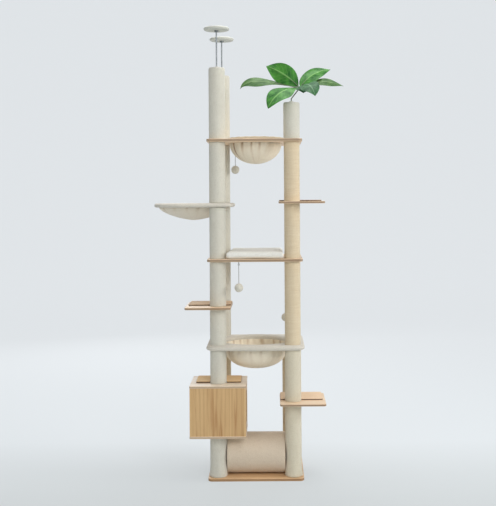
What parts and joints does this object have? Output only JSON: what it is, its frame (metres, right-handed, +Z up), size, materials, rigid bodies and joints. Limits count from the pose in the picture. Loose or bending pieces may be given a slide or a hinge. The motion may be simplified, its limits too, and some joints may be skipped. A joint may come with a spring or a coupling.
{
  "type": "floor-to-ceiling cat tree",
  "caption": "Tall cat tree on plush and sisal posts, braced against the ceiling, with shelves, steps, cloth hammocks, a box, a tunnel, hanging balls and a leafy top.",
  "frame": {"origin": "centre of the base board's underside, on the floor", "axes": "+Z up along the posts, +X to the right seen from the front, +Y to the back"},
  "size_m": [1.0429, 0.5565, 2.455],
  "materials": {
    "pine_board": "satin lacquered pine veneer",
    "box_panel": "satin lacquered pine veneer, grain upright",
    "step_mat": "flat woven mat with a dark bound edge",
    "plush": "short cream plush",
    "sisal": "fine woven sisal",
    "hammock_plush": "padded cream plush",
    "hammock_cloth": "gathered soft cloth",
    "cushion_plush": "long cream plush",
    "kraft_tube": "wound kraft paper tube",
    "plug_wood": "turned wood",
    "zinc_steel": "zinc plated",
    "rod_steel": "satin steel",
    "socket_plastic": "moulded cream plastic",
    "pad_plush": "cream felt over a moulded disc",
    "toy_plush": "pompom",
    "toy_cord": "twisted cord",
    "leaf": "printed artificial leaf",
    "stem": "moulded stem"
  },
  "bodies": {
    "tree": {"base_board": "pine_board", "top_shelf_board": "pine_board", "mid_shelf_board": "pine_board", "left_step_board": "pine_board", "lower_right_step_board": "pine_board", "upper_right_step_board": "pine_board", "box_floor": "box_panel", "box_roof": "box_panel", "box_front_panel": "box_panel", "box_back_panel": "box_panel", "box_left_panel": "box_panel", "box_right_panel": "box_panel", "left_step_mat": "step_mat", "lower_right_step_mat": "step_mat", "upper_right_step_mat": "step_mat", "box_roof_mat": "step_mat", "front_left_cover_1": "plush", "front_left_cover_2": "plush", "front_left_cover_3": "plush", "front_left_cover_4": "plush", "front_left_cover_5": "plush", "front_left_cover_6": "plush", "front_left_cover_7": "plush", "front_right_cover_1": "plush", "front_right_cover_2": "plush", "front_right_cover_6": "plush", "rear_left_covers": "plush", "tunnel_cover": "plush", "front_right_cover_3": "sisal", "front_right_cover_4": "sisal", "front_right_cover_5": "sisal", "rear_right_cover": "sisal", "lower_hammock_cover": "hammock_plush", "side_hammock_cover": "hammock_plush", "top_bowl": "hammock_cloth", "lower_bowl": "hammock_cloth", "side_bowl": "hammock_cloth", "mid_cushion": "cushion_plush", "post_core_tubes": "kraft_tube", "tunnel_tube": "kraft_tube", "post_end_plugs": "plug_wood", "box_dowels": "plug_wood", "lower_hammock_board": "plug_wood", "side_hammock_board": "plug_wood", "steel_fasteners": "zinc_steel", "top_bowl_hoop": "zinc_steel", "toy_eyes": "zinc_steel", "post_top_sockets": "socket_plastic"},
    "front_pad": {"front_ceiling_rod": "rod_steel", "front_ceiling_pad": "pad_plush"},
    "rear_pad": {"rear_ceiling_rod": "rod_steel", "rear_ceiling_pad": "pad_plush"},
    "upper_toy": {"upper_toy_cord": "toy_cord", "upper_toy_ball": "toy_plush"},
    "middle_toy": {"middle_toy_cord": "toy_cord", "middle_toy_ball": "toy_plush"},
    "lower_toy": {"lower_toy_cord": "toy_cord", "lower_toy_ball": "toy_plush"},
    "plant": {"plant_stem": "stem", "plant_leaves": "leaf"}
  },
  "joints": [
    {"name": "front_pad_slide", "type": "slide", "parent": "tree", "child": "front_pad", "axis": [0, 0, 1], "range_m": [-0.185, 0.06]},
    {"name": "rear_pad_slide", "type": "slide", "parent": "tree", "child": "rear_pad", "axis": [0, 0, 1], "range_m": [-0.185, 0.06]},
    {"name": "upper_toy_swing", "type": "hinge", "parent": "tree", "child": "upper_toy", "pos_m": [-0.11521, 0.12021, 1.822], "axis": [1, 0, 0], "range_deg": [-40, 40]},
    {"name": "middle_toy_swing", "type": "hinge", "parent": "tree", "child": "middle_toy", "pos_m": [-0.088, -0.205, 1.172], "axis": [1, 0, 0], "range_deg": [-40, 40]},
    {"name": "lower_toy_swing", "type": "hinge", "parent": "tree", "child": "lower_toy", "pos_m": [0.168, 0.1, 1.172], "axis": [1, 0, 0], "range_deg": [-25, 25]},
    {"name": "plant_turn", "type": "hinge", "parent": "tree", "child": "plant", "pos_m": [0.203, -0.17, 2.04], "axis": [0, 0, 1], "continuous": true}
  ]
}
